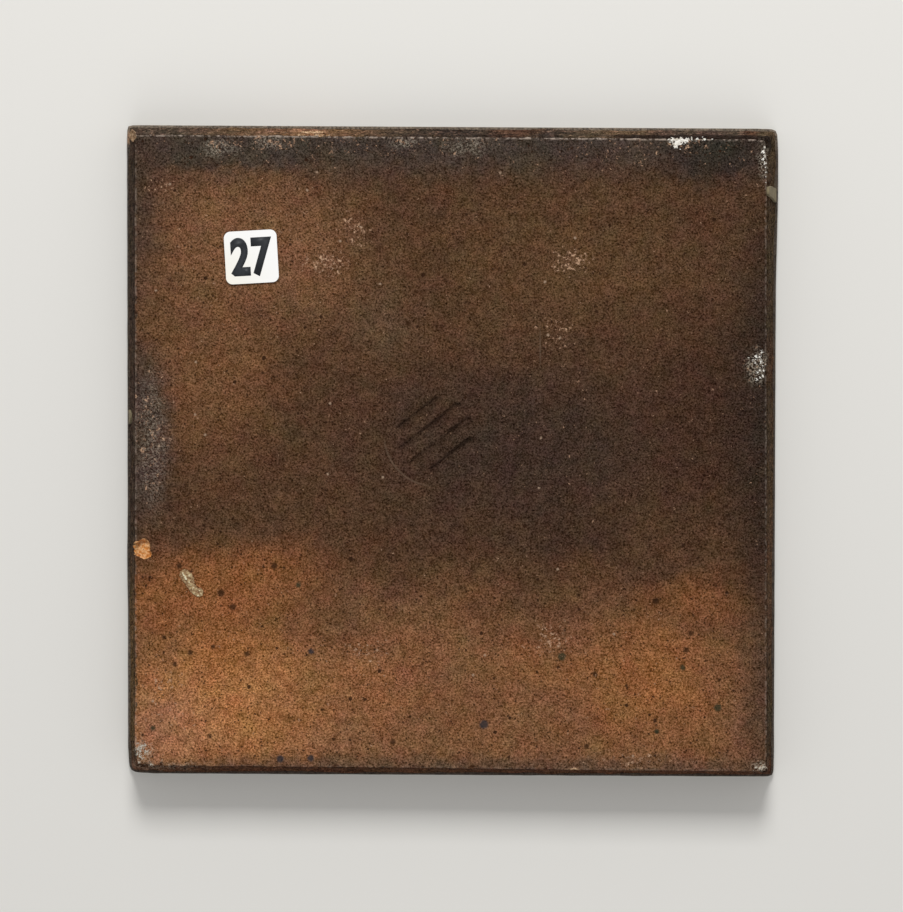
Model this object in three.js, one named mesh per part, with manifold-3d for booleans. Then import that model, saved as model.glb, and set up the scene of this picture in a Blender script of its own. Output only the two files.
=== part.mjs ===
// A square stoneware wall tile that lies on its glazed front, with its unglazed back upward.
// Millimetres, +Z up, +Y towards the tile's top edge. The origin is on the ground under its middle.

import * as THREE from "three";
import { mergeVertices } from "three/addons/utils/BufferGeometryUtils.js";
import Module from "manifold-3d";

const wasm = await Module();
wasm.setup();

// The slab: a 15 cm tile, measured over its glazed front
const tileWidth = 150;
const tileHeight = 150;
const tileThickness = 12;

// The side's profile: how far each height of it lies inside the front outline, and the bevels
const arrisInset = 3.2;
const wallTopInset = 2.9;
const shoulderInset = 2.3;
const arrisBevel = 0.3;
const wallDrop = 2.6;
const footBevel = 0.6;

// The coat of glaze on the front, and its lip round the front edge
const glazeThickness = 0.6;
const lipThickness = 0.4;
const lipHeight = 2.4;
const lipTopInset = 0.25;
const frontEdgeRadius = 1.2;
const seatGap = 0.3;

// The kiln pulled the tile out of square: each corner's shift at the front and at the back, and its radius
const topLeft = { sideX: -1, sideY: 1, front: [0, 0], back: [-0.6, 0.2], radius: 1.4 };
const topRight = { sideX: 1, sideY: 1, front: [-0.5, -0.8], back: [-0.4, -1], radius: 1.9 };
const bottomRight = { sideX: 1, sideY: -1, front: [-1.2, 0.1], back: [-0.4, -1.2], radius: 1.5 };
const bottomLeft = { sideX: -1, sideY: -1, front: [0.3, 0.8], back: [-0.6, 0.2], radius: 2.7 };
const cornerTightening = 0.25;
const leastCornerRadius = 0.3;

// The swollen stretch of the right side, under its top corner
const swellDepth = 0.5;
const swellFromTop = 11;
const swellReach = 30;

// The round press mark: a fine ring with plain slanting bars inside it
const markX = -4;
const markY = 3.6;
const markRingRadius = 11.4;
const markRingWidth = 0.5;
const markRingDepth = 0.2;
const markBarCount = 4;
const markBarPitch = 4;
const markBarWidth = 1.8;
const markBarDepth = 0.4;
const markBarClearance = 1.6;
const markSlantDegrees = 38;

// Chips broken out of the back's edge: place, size along and across the edge, depth, and how far
// the chip's middle stands outside the arris
const leftChip = { y: -22.1, along: 4.6, across: 3.8, depth: 1.2, outset: 0 };
const cornerChip = { fromTop: 4, along: 3.2, across: 1.9, depth: 2.6, outset: 1.5 };
const topChip = { fromLeft: 43, along: 7, across: 1.7, depth: 2, outset: 1.4 };

// The number sticker, its middle measured from the left and the top edge of the front
const labelFromLeft = 29.15;
const labelFromTop = 30.95;
const labelSide = 12;
const labelRadius = 1.5;
const labelTurnDegrees = 3.3;
const paperThickness = 0.15;
const adhesiveThickness = 0.1;
const adhesiveSetBack = 0.15;

// Runs of glaze up the sides: place along the side, width, and height above the ground
const rightRun = { fromTop: 16, width: 3.2, height: 9.5 };
const leftRun = { y: 7.4, width: 3, height: 5.5 };
const runThickness = 0.7;

// Residue on the back. Patches at an edge keep a margin to the arris. Sizes are along X and along Y.
const edgeMargin = 0.3;
const topPlaster = { fromRight: 23.2, sizeX: 7, sizeY: 2.6, thickness: 0.7 };
const rightUpperPlaster = { fromTop: 10, sizeX: 1.5, sizeY: 8.4, thickness: 0.5 };
const rightMiddlePlaster = { y: 18.9, sizeX: 4, sizeY: 6.8, thickness: 0.6 };
const bottomLeftPlaster = { sizeX: 3.2, sizeY: 4.4, thickness: 0.6 };
const bottomRightPlaster = { sizeX: 3.2, sizeY: 1.9, thickness: 0.5 };
const smearHead = { fromLeft: 14.5, y: -28.4, sizeX: 3.6, sizeY: 3.2, thickness: 0.35 };
const smearTail = { fromLeft: 17, y: -32.2, sizeX: 3, sizeY: 2.4, thickness: 0.3 };
const smearNeckWidth = 1;

// A patch's outline wobbles by three and by five lobes, and it thins out towards its edge
const threeLobes = 0.12;
const fiveLobes = 0.07;
const patchRimHeight = 0.45;
const patchRimScale = 0.92;
const patchTopScale = 0.55;

// Fineness of the shapes, and how far a cutter reaches past what it cuts
const cornerSteps = 6;
const sideSteps = 15;
const patchSteps = 28;
const chipSteps = 20;
const ringSteps = 72;
const roundSteps = 8;
const overrun = 1;

// Colours of the fired clay, the glaze, the sticker and the residue
const clayColor = 0x6a4a31;
const glazeColor = 0xa3a08a;
const adhesiveColor = 0xcbbf9a;
const paperColor = 0xf4f3ee;
const plasterColor = 0xdedad0;
const smearColor = 0xa59f7c;

// Places that follow the slab's edges
const swellY = tileHeight / 2 - swellFromTop;
const cornerChipY = tileHeight / 2 - cornerChip.fromTop;
const topChipX = topChip.fromLeft - tileWidth / 2;
const rightRunY = tileHeight / 2 - rightRun.fromTop;
const labelX = labelFromLeft - tileWidth / 2;
const labelY = tileHeight / 2 - labelFromTop;
const topPlasterX = tileWidth / 2 - topPlaster.fromRight;
const rightUpperY = tileHeight / 2 - rightUpperPlaster.fromTop;
const smearHeadX = smearHead.fromLeft - tileWidth / 2;
const smearTailX = smearTail.fromLeft - tileWidth / 2;

// Corners in the order in which a ring passes them, anticlockwise seen from above
const corners = [topRight, topLeft, bottomLeft, bottomRight];
const backZ = tileThickness;
const wallTopZ = backZ - arrisBevel;
const shoulderZ = wallTopZ - wallDrop;

function cornerRadius(corner, inset) {
  return Math.max(corner.radius - inset * cornerTightening, leastCornerRadius);
}

// Where a corner of the square lies at an inset and a height, once the kiln has shifted it
function cornerPoint(corner, inset, z) {
  const share = z / tileThickness;
  const shiftX = THREE.MathUtils.lerp(corner.front[0], corner.back[0], share);
  const shiftY = THREE.MathUtils.lerp(corner.front[1], corner.back[1], share);
  return new THREE.Vector2(
    corner.sideX * (tileWidth / 2 - inset) + shiftX,
    corner.sideY * (tileHeight / 2 - inset) + shiftY,
  );
}

// A point on a corner's round, at an angle from +X
function cornerRound(corner, inset, z, angle) {
  const tip = cornerPoint(corner, inset, z);
  const radius = cornerRadius(corner, inset);
  return new THREE.Vector3(
    tip.x - corner.sideX * radius + radius * Math.cos(angle),
    tip.y - corner.sideY * radius + radius * Math.sin(angle),
    z,
  );
}

// How far the right side stands out at a point: all of it at the front edge, none at the back
function swell(point) {
  const away = Math.min(1, Math.abs(point.y - swellY) / swellReach);
  const rise = (1 + Math.cos(Math.PI * away)) / 2;
  const rightward = Math.max(0, point.x) / (tileWidth / 2);
  return swellDepth * rise * rightward * (1 - point.z / tileThickness);
}

// One level ring of the tile's side
function ring(inset, z) {
  const points = [];
  corners.forEach((corner, index) => {
    const start = (index * Math.PI) / 2;
    const end = start + Math.PI / 2;
    for (let step = 0; step <= cornerSteps; step++) {
      const angle = THREE.MathUtils.lerp(start, end, step / cornerSteps);
      points.push(cornerRound(corner, inset, z, angle));
    }
    const next = corners[(index + 1) % corners.length];
    const from = cornerRound(corner, inset, z, end);
    const to = cornerRound(next, inset, z, end);
    for (let step = 1; step < sideSteps; step++) {
      points.push(from.clone().lerp(to, step / sideSteps));
    }
  });
  for (const point of points) point.x += swell(point);
  return points;
}

// A closed geometry through level rings with the same number of points, the lowest ring first
function loft(rings) {
  const count = rings[0].length;
  const vertices = rings.flat();
  const indices = [];
  for (let level = 0; level < rings.length - 1; level++) {
    for (let n = 0; n < count; n++) {
      const a = level * count + n;
      const b = level * count + ((n + 1) % count);
      indices.push(a, b, b + count, a, b + count, a + count);
    }
  }
  const capStart = vertices.length - count;
  for (const [points, start, turn] of [[rings[0], 0, -1], [rings[rings.length - 1], capStart, 1]]) {
    const middle = new THREE.Vector3();
    for (const point of points) middle.addScaledVector(point, 1 / count);
    vertices.push(middle);
    for (let n = 0; n < count; n++) {
      const near = start + n;
      const far = start + ((n + 1) % count);
      indices.push(vertices.length - 1, turn > 0 ? near : far, turn > 0 ? far : near);
    }
  }
  const geometry = new THREE.BufferGeometry().setFromPoints(vertices);
  return geometry.setIndex(indices);
}

// A closed geometry as a solid that can be joined and cut
function solidOf(geometry) {
  const bare = new THREE.BufferGeometry();
  bare.setAttribute("position", geometry.getAttribute("position").clone());
  if (geometry.index) bare.setIndex(geometry.index.clone());
  const merged = mergeVertices(bare, 1e-4);
  return new wasm.Manifold(
    new wasm.Mesh({
      numProp: 3,
      vertProperties: merged.attributes.position.array,
      triVerts: new Uint32Array(merged.index.array),
    }),
  );
}

// A solid as a named mesh of the tile
function piece(name, solid, color, roughness) {
  const made = solid.getMesh();
  const geometry = new THREE.BufferGeometry();
  geometry.setAttribute("position", new THREE.BufferAttribute(made.vertProperties, 3));
  geometry.setIndex(new THREE.BufferAttribute(made.triVerts, 1));
  geometry.computeVertexNormals();
  const material = new THREE.MeshStandardMaterial({ color, roughness, metalness: 0 });
  const mesh = new THREE.Mesh(geometry, material);
  mesh.name = name;
  return mesh;
}

// The X of the back's left or right arris at a given Y, and the Y of its top or bottom arris at an X
function arrisX(side, y) {
  const [above, below] = side > 0 ? [topRight, bottomRight] : [topLeft, bottomLeft];
  const high = cornerPoint(above, arrisInset, backZ);
  const low = cornerPoint(below, arrisInset, backZ);
  return THREE.MathUtils.mapLinear(y, low.y, high.y, low.x, high.x);
}

function arrisY(side, x) {
  const [left, right] = side > 0 ? [topLeft, topRight] : [bottomLeft, bottomRight];
  const near = cornerPoint(left, arrisInset, backZ);
  const far = cornerPoint(right, arrisInset, backZ);
  return THREE.MathUtils.mapLinear(x, near.x, far.x, near.y, far.y);
}

// The clay slab's rings, grown sideways where room for it is cut out of the glaze
function slabRings(grow) {
  const footInset = lipThickness + seatGap;
  return [
    ring(footInset + footBevel - grow, glazeThickness),
    ring(footInset - grow, glazeThickness + footBevel),
    ring(shoulderInset - grow, shoulderZ),
    ring(wallTopInset - grow, wallTopZ),
    ring(arrisInset - grow, backZ),
  ];
}

// An egg-shaped cutter or body, from its half lengths
function egg(halfX, halfY, halfZ) {
  const geometry = new THREE.SphereGeometry(1, chipSteps, chipSteps / 2);
  geometry.rotateX(Math.PI / 2);
  return geometry.scale(halfX, halfY, halfZ);
}

// A straight groove with round ends that is sunk from the back
function barCutter(length, width, depth) {
  const half = Math.max(length - width, 0) / 2;
  const shape = new THREE.Shape();
  shape.absarc(half, 0, width / 2, -Math.PI / 2, Math.PI / 2);
  shape.absarc(-half, 0, width / 2, Math.PI / 2, (3 * Math.PI) / 2);
  const geometry = new THREE.ExtrudeGeometry(shape, {
    depth: depth + overrun,
    bevelEnabled: false,
    curveSegments: roundSteps,
  });
  return geometry.translate(0, 0, -depth);
}

// The press mark's cutters: its fine ring, and the bars that fill the ring like a comb
function markCutters() {
  const inner = markRingRadius - markRingWidth / 2;
  const outer = markRingRadius + markRingWidth / 2;
  const section = [
    new THREE.Vector2(inner, -markRingDepth),
    new THREE.Vector2(outer, -markRingDepth),
    new THREE.Vector2(outer, overrun),
    new THREE.Vector2(inner, overrun),
    new THREE.Vector2(inner, -markRingDepth),
  ];
  const cutters = [new THREE.LatheGeometry(section, ringSteps).rotateX(Math.PI / 2)];
  const reach = inner - markBarClearance;
  for (let n = 0; n < markBarCount; n++) {
    const offset = (n - (markBarCount - 1) / 2) * markBarPitch;
    const edge = Math.min(Math.abs(offset) + markBarWidth / 2, reach);
    const length = 2 * Math.sqrt(reach ** 2 - edge ** 2) + markBarWidth;
    const bar = barCutter(length, markBarWidth, markBarDepth);
    bar.translate(0, offset, 0);
    cutters.push(bar.rotateZ(THREE.MathUtils.degToRad(markSlantDegrees)));
  }
  return cutters.map((cutter) => cutter.translate(markX, markY, backZ));
}

function chipCutters() {
  const sideChips = [[leftChip, leftChip.y], [cornerChip, cornerChipY]].map(([chip, y]) => {
    const x = arrisX(-1, y) - chip.outset;
    return egg(chip.across, chip.along / 2, chip.depth).translate(x, y, backZ);
  });
  const topY = arrisY(1, topChipX) + topChip.outset;
  const top = egg(topChip.along / 2, topChip.across, topChip.depth);
  return [...sideChips, top.translate(topChipX, topY, backZ)];
}

function clayBody() {
  let body = solidOf(loft(slabRings(0)));
  for (const cutter of [...markCutters(), ...chipCutters()]) {
    body = body.subtract(solidOf(cutter));
  }
  return body;
}

// The glaze: a coat under the slab with a lip round its edge, and a run up each of two sides
function faceGlaze() {
  let glaze = solidOf(
    loft([
      ring(frontEdgeRadius, 0),
      ring(frontEdgeRadius / 3, frontEdgeRadius / 3),
      ring(0, frontEdgeRadius),
      ring(lipTopInset, lipHeight),
    ]),
  );
  const runSkin = solidOf(loft(slabRings(seatGap + runThickness)));
  const outline = solidOf(loft([ring(0, 0), ring(0, backZ)]));
  for (const [side, run, y] of [[1, rightRun, rightRunY], [-1, leftRun, leftRun.y]]) {
    const rise = run.height - lipHeight / 2;
    const tongue = egg(tileWidth / 2 - arrisInset, run.width / 2, rise);
    tongue.translate((side * tileWidth) / 2, y, lipHeight / 2);
    glaze = glaze.add(solidOf(tongue).intersect(runSkin).intersect(outline));
  }
  return glaze.subtract(solidOf(loft(slabRings(seatGap))));
}

// A rounded square of the sticker, from one height to another
function stickerLayer(side, radius, z, thickness) {
  const half = side / 2 - radius;
  const shape = new THREE.Shape();
  shape.absarc(half, half, radius, 0, Math.PI / 2);
  shape.absarc(-half, half, radius, Math.PI / 2, Math.PI);
  shape.absarc(-half, -half, radius, Math.PI, (3 * Math.PI) / 2);
  shape.absarc(half, -half, radius, (3 * Math.PI) / 2, 2 * Math.PI);
  const geometry = new THREE.ExtrudeGeometry(shape, {
    depth: thickness,
    bevelEnabled: false,
    curveSegments: roundSteps,
  });
  geometry.rotateZ(THREE.MathUtils.degToRad(labelTurnDegrees));
  return solidOf(geometry.translate(labelX, labelY, z));
}

// A low uneven patch that lies on the back
function patch(x, y, { sizeX, sizeY, thickness }) {
  const level = (scale, z) => {
    const points = [];
    for (let n = 0; n < patchSteps; n++) {
      const angle = (2 * Math.PI * n) / patchSteps;
      const wobble = 1 + threeLobes * Math.cos(3 * angle) + fiveLobes * Math.sin(5 * angle);
      const reach = (scale * wobble) / (1 + threeLobes + fiveLobes);
      const dx = (sizeX / 2) * reach * Math.cos(angle);
      const dy = (sizeY / 2) * reach * Math.sin(angle);
      points.push(new THREE.Vector3(x + dx, y + dy, z));
    }
    return points;
  };
  return solidOf(
    loft([
      level(1, backZ),
      level(patchRimScale, backZ + patchRimHeight * thickness),
      level(patchTopScale, backZ + thickness),
    ]),
  );
}

// The middle of a patch that keeps its margin to a side of the back
function besideArrisX(side, y, size) {
  return arrisX(side, y) - side * (edgeMargin + size.sizeX / 2);
}

function besideArrisY(side, x, size) {
  return arrisY(side, x) - side * (edgeMargin + size.sizeY / 2);
}

function cornerPatch(corner, size) {
  const tip = cornerPoint(corner, arrisInset, backZ);
  const inward = edgeMargin + cornerRadius(corner, arrisInset) / 2;
  const x = tip.x - corner.sideX * (inward + size.sizeX / 2);
  const y = tip.y - corner.sideY * (inward + size.sizeY / 2);
  return patch(x, y, size);
}

// The smear of glaze: two drops joined by a narrow neck
function glazeSmear() {
  const run = new THREE.Vector2(smearTailX - smearHeadX, smearTail.y - smearHead.y);
  const neck = new THREE.BoxGeometry(run.length(), smearNeckWidth, smearTail.thickness / 2);
  neck.translate(run.length() / 2, 0, smearTail.thickness / 4);
  neck.rotateZ(run.angle());
  neck.translate(smearHeadX, smearHead.y, backZ);
  return patch(smearHeadX, smearHead.y, smearHead)
    .add(patch(smearTailX, smearTail.y, smearTail))
    .add(solidOf(neck));
}

const topPlasterY = besideArrisY(1, topPlasterX, topPlaster);
const rightUpperX = besideArrisX(1, rightUpperY, rightUpperPlaster);
const rightMiddleX = besideArrisX(1, rightMiddlePlaster.y, rightMiddlePlaster);
const adhesive = stickerLayer(
  labelSide - 2 * adhesiveSetBack,
  labelRadius - adhesiveSetBack,
  backZ,
  adhesiveThickness,
);
const paper = stickerLayer(labelSide, labelRadius, backZ + adhesiveThickness, paperThickness);
const topPatch = patch(topPlasterX, topPlasterY, topPlaster);
const upperPatch = patch(rightUpperX, rightUpperY, rightUpperPlaster);
const middlePatch = patch(rightMiddleX, rightMiddlePlaster.y, rightMiddlePlaster);

const slab = new THREE.Group();
slab.add(piece("clay_body", clayBody(), clayColor, 0.9));
slab.add(piece("face_glaze", faceGlaze(), glazeColor, 0.25));

const sticker = new THREE.Group();
sticker.add(piece("label_adhesive", adhesive, adhesiveColor, 0.6));
sticker.add(piece("label_paper", paper, paperColor, 0.55));

const residue = new THREE.Group();
residue.add(piece("plaster_top_edge", topPatch, plasterColor, 0.95));
residue.add(piece("plaster_right_upper", upperPatch, plasterColor, 0.95));
residue.add(piece("plaster_right_middle", middlePatch, plasterColor, 0.95));
residue.add(
  piece("plaster_bottom_left", cornerPatch(bottomLeft, bottomLeftPlaster), plasterColor, 0.95),
);
residue.add(
  piece("plaster_bottom_right", cornerPatch(bottomRight, bottomRightPlaster), plasterColor, 0.95),
);
residue.add(piece("glaze_smear", glazeSmear(), smearColor, 0.35));

const tile = new THREE.Group();
tile.add(slab, sticker, residue);

// The origin lies under the middle of the tile's own outline
const outlineBox = new THREE.Box3().setFromObject(slab);
const middle = outlineBox.getCenter(new THREE.Vector3());
tile.position.set(-middle.x, -middle.y, 0);

export default tile;
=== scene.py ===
"""A square stoneware wall tile that lies on its glazed front, so that its fired, unglazed back shows."""

import math
import random

import bmesh
import bpy
from mathutils import Matrix, Vector, noise


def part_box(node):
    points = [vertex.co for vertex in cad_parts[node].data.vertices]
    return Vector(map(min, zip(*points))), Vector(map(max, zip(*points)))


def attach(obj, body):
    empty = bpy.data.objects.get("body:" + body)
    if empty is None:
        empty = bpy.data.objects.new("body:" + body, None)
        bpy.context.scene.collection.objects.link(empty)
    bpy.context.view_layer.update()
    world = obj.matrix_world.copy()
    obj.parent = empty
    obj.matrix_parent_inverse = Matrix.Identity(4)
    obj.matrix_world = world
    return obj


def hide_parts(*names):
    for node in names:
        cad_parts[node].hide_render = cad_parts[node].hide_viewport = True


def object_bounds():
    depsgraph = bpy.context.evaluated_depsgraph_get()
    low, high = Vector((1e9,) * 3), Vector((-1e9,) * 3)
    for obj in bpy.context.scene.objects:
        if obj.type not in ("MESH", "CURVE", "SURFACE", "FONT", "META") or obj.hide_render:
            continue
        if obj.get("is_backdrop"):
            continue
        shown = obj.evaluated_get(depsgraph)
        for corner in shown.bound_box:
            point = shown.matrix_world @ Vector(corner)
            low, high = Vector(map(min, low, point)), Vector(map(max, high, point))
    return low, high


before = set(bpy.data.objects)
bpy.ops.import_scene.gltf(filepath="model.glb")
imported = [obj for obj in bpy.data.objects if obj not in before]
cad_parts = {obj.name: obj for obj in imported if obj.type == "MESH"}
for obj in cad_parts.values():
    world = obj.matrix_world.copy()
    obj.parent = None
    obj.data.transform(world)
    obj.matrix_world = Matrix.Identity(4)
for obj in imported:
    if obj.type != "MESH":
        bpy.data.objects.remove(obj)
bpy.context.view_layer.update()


# The camera looks straight down on the back, as a copy stand does. It is about 0.8 m above the tile,
# a little left of and below its middle, with a long lens.
mm = 0.001
bpy.ops.object.select_all(action="DESELECT")
bpy.ops.object.camera_add(location=(-0.27 * mm, -1.2 * mm, 834 * mm), rotation=(0, 0, 0))
camera = bpy.context.object
camera.name = "copy_stand_camera"
camera.data.sensor_width = 36
camera.data.lens = 142.7
camera.data.clip_start = 0.01
camera.data.clip_end = 20
bpy.context.scene.camera = camera


# The slab: stoneware clay pressed into a square mould, with its back edge trimmed, then fired face up.
# It carries every other piece. It is built from its back downward: a fine grid for the back, and rows
# of faces for the arris, the cleft under it, the flared side and the foot that the glaze covers.
tile_side = 150 * mm
back_z = 12 * mm
arris_inset = 3.2 * mm
back_cells = 248
# Each step down the side: its inset from the front's outline, its height, and its rows of faces
side_steps = [
    (3.02, 11.8, 1),
    (3.35, 11.3, 1),
    (3.3, 10.9, 1),
    (2.6, 10.3, 2),
    (2.2, 9.1, 3),
    (1.3, 5, 8),
    (0.55, 2.3, 5),
    (0.2, 1.5, 2),
    (1.3, 0.6, 2),
]
# The kiln pulled the tile out of square: how far each corner of the front and of the back moved
centring = Vector((0.074, 0.005))
corner_pull = {
    (-1, 1): ((0, 0), (-0.6, 0.2)),
    (1, 1): ((-0.5, -0.8), (-0.4, -1)),
    (1, -1): ((-1.2, 0.1), (-0.4, -1.2)),
    (-1, -1): ((0.3, 0.8), (-0.6, 0.2)),
}
# How far the rounding of each corner reaches from it
corner_reach = {(-1, 1): 1.8, (1, 1): 2.6, (1, -1): 2, (-1, -1): 3.6}
# Where the side swelled in the kiln: the side, the place along it, the reach and the depth
swellings = [(1, 64, 30, 0.48), (-1, -25, 12, 0.15)]


def deselect():
    """Leaves object mode and selects nothing."""
    if bpy.context.object and bpy.context.object.mode != "OBJECT":
        bpy.ops.object.mode_set(mode="OBJECT")
    bpy.ops.object.select_all(action="DESELECT")


def pick(piece):
    """Selects one piece alone."""
    deselect()
    piece.select_set(True)
    bpy.context.view_layer.objects.active = piece


def edit(piece):
    """Selects one piece alone and opens it in edit mode."""
    pick(piece)
    bpy.ops.object.mode_set(mode="EDIT")
    bpy.ops.mesh.select_mode(type="VERT")


def select_points(piece, wanted):
    """In edit mode, selects the points whose place passes the test, with the edges and faces between."""
    shape = bmesh.from_edit_mesh(piece.data)
    for vertex in shape.verts:
        vertex.select = wanted(vertex.co)
    shape.select_flush_mode()
    bmesh.update_edit_mesh(piece.data)


def modify(piece, kind, **settings):
    """Adds a modifier with its settings and applies it."""
    pick(piece)
    modifier = piece.modifiers.new(kind.lower(), kind)
    for name, value in settings.items():
        setattr(modifier, name, value)
    bpy.ops.object.modifier_apply(modifier=modifier.name)


def settle(piece, name):
    """Names a new piece and puts its place, turn and scale into its mesh."""
    piece.name = name
    piece.data.name = name
    pick(piece)
    bpy.ops.object.transform_apply(location=True, rotation=True, scale=True)


def remove(*helpers):
    """Deletes helper objects."""
    deselect()
    for helper in helpers:
        helper.select_set(True)
    bpy.ops.object.delete()


def step_between(low, high, value):
    """0 up to low, 1 from high, and a smooth rise between them."""
    share = min(max((value - low) / (high - low), 0), 1)
    return share * share * (3 - 2 * share)


def paint(piece, group_name, weight):
    """A vertex group whose weight at each point comes from the point's place in millimetres."""
    group = piece.vertex_groups.new(name=group_name)
    for vertex in piece.data.vertices:
        amount = weight(vertex.co / mm)
        if amount > 0.002:
            group.add([vertex.index], min(amount, 1), "REPLACE")


def cloud_texture(name, grain, depth=2, contrast=1):
    """A cloud pattern for a Displace modifier, with its grain in the modifier's own units."""
    texture = bpy.data.textures.new(name, "CLOUDS")
    texture.noise_scale = grain
    texture.noise_depth = depth
    texture.contrast = contrast
    return texture


def roughen(piece, name, grain, strength, mid_level=1, depth=2, contrast=1, **settings):
    """Moves a piece's points by a cloud pattern of this grain, by up to this many millimetres."""
    modify(piece, "DISPLACE", texture=cloud_texture(name, grain * mm, depth, contrast),
           texture_coords="LOCAL", mid_level=mid_level, strength=strength * mm, **settings)


def face_outward():
    """In edit mode, turns every face of the piece outward, and ends the editing."""
    bpy.ops.mesh.select_all(action="SELECT")
    bpy.ops.mesh.normals_make_consistent(inside=False)
    deselect()


def plate(name, outline, bottom, top):
    """A flat plate with this outline, from one height to the other, all in millimetres."""
    deselect()
    bpy.ops.mesh.primitive_circle_add(vertices=len(outline), radius=1, fill_type="NGON")
    piece = bpy.context.object
    for vertex, (x, y) in zip(piece.data.vertices, outline):
        vertex.co = (x * mm, y * mm, bottom * mm)
    edit(piece)
    bpy.ops.mesh.select_all(action="SELECT")
    bpy.ops.mesh.extrude_region_move(TRANSFORM_OT_translate={"value": (0, 0, (top - bottom) * mm)})
    face_outward()
    settle(piece, name)
    return piece


def skirted_grid(name, cells, inset, height, steps):
    """A square grid at an inset from the tile's outline, with rows of faces round it, closed at the end.
    Each step has its inset and height in millimetres, and how many rows lead to it."""
    deselect()
    bpy.ops.mesh.primitive_grid_add(x_subdivisions=cells, y_subdivisions=cells,
                                    size=tile_side - 2 * inset, location=(0, 0, height))
    piece = bpy.context.object
    settle(piece, name)
    edit(piece)
    bpy.ops.mesh.select_all(action="SELECT")
    bpy.ops.mesh.region_to_loop()
    for next_inset, next_height, rows in steps:
        inset_step = (next_inset * mm - inset) / rows
        height_step = (next_height * mm - height) / rows
        for _ in range(rows):
            widening = (tile_side / 2 - inset - inset_step) / (tile_side / 2 - inset)
            bpy.ops.mesh.extrude_region_move(TRANSFORM_OT_translate={"value": (0, 0, height_step)})
            bpy.ops.transform.resize(value=(widening, widening, 1), center_override=(0, 0, 0))
            inset += inset_step
            height += height_step
    bpy.ops.mesh.edge_face_add()
    face_outward()
    return piece


def round_corners(piece, inset, repeats):
    """Wears the corners of a piece at this inset round, by smoothing each one so many times."""
    edit(piece)
    for ((side_x, side_y), reach), repeat in zip(corner_reach.items(), repeats):
        inner = tile_side / 2 - inset - reach * mm
        select_points(piece, lambda co: co.x * side_x > inner and co.y * side_y > inner)
        bpy.ops.mesh.vertices_smooth(factor=0.5, repeat=repeat, xaxis=True, yaxis=True, zaxis=False)


def melt(pieces, voxel, times):
    """Joins pieces to the first one and makes one skin round them, then smooths it so many times."""
    deselect()
    for piece in pieces:
        piece.select_set(True)
    bpy.context.view_layer.objects.active = pieces[0]
    if len(pieces) > 1:
        bpy.ops.object.join()
    modify(pieces[0], "REMESH", mode="VOXEL", voxel_size=voxel * mm)
    modify(pieces[0], "SMOOTH", factor=0.5, iterations=times)


def on_back(co):
    """Whether a place is on the flat back, not on the side."""
    return co.z > back_z - 0.01 * mm


slab = skirted_grid("fired_clay_slab", back_cells, arris_inset, back_z, side_steps)

# Knocks broke a flake from the left arris, and spalls from two sides and the bottom arris. Each is cut
# with a rough lump, before the warp. The flake's outline is in millimetres, and its floor slopes.
flake = plate(
    "flake",
    [(-72.9, -21.5), (-71.1, -20.9), (-69.8, -20.1), (-68.8, -20.8), (-68.1, -24.2), (-69.7, -24.7),
     (-71.5, -23.9), (-72.9, -23.2)],
    back_z / mm - 1.7,
    back_z / mm + 0.8,
)
edit(flake)
select_points(flake, lambda co: co.x > -70.5 * mm and co.z < back_z)
bpy.ops.transform.translate(value=(0, 0, 1.3 * mm))
lumps = [flake]
# Each spall's middle, half widths, and lean to the right and towards the bottom edge in degrees
for middle, reach, (lean, tip) in [
    ((-73.65, 72.1, 6.8), (0.9, 1.35, 6.5), (17, 7)),
    ((-73.2, 70.9, 9.8), (0.75, 0.9, 2), (17, 0)),
    ((-31.6, 73.95, 8), (3.4, 1.4, 3), (0, 0)),
    ((-29.4, 72.75, 11.3), (2.6, 1.2, 1.5), (0, 0)),
    ((-34.2, 72.85, 11.2), (1.6, 1, 1.2), (0, 0)),
    ((27.6, -72.5, 11.4), (2.4, 0.95, 0.9), (0, 0)),
]:
    deselect()
    bpy.ops.mesh.primitive_ico_sphere_add(subdivisions=3, radius=1, location=Vector(middle) * mm)
    lump = bpy.context.object
    lump.scale = Vector(reach) * mm
    lump.rotation_euler = (math.radians(tip), math.radians(lean), 0)
    settle(lump, "spall")
    lumps.append(lump)
melt(lumps, 0.16, 2)
roughen(flake, "broken_grain", 0.9, 0.34, mid_level=0.5, depth=3, contrast=1.6)
skin = bpy.data.materials.new("fired_stoneware_unglazed")
fresh = bpy.data.materials.new("broken_stoneware")
slab.data.materials.append(skin)
flake.data.materials.append(fresh)
modify(slab, "BOOLEAN", object=flake, operation="DIFFERENCE", solver="EXACT", material_mode="TRANSFER")
remove(flake)

# How far each point lies from the arris in millimetres, inward on the back and downward on the side
from_arris = slab.data.attributes.new("from_arris", "FLOAT", "POINT")
for vertex in slab.data.vertices:
    if on_back(vertex.co):
        distance = tile_side / 2 - arris_inset - max(abs(vertex.co.x), abs(vertex.co.y))
    else:
        distance = vertex.co.z - back_z
    from_arris.data[vertex.index].value = distance / mm

# The corners are worn round, the front's more than the back's
round_corners(slab, arris_inset, (3, 7, 4, 14))

# The press mark needs a finer grid: each of its cells is split in four
mark_place = Vector((-4 + centring.x, 3.6 + centring.y))
mark_reach = 12.6
select_points(slab, lambda co: on_back(co) and (co.xy / mm - mark_place).length < mark_reach)
bpy.ops.mesh.subdivide(number_cuts=1)
deselect()

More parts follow.
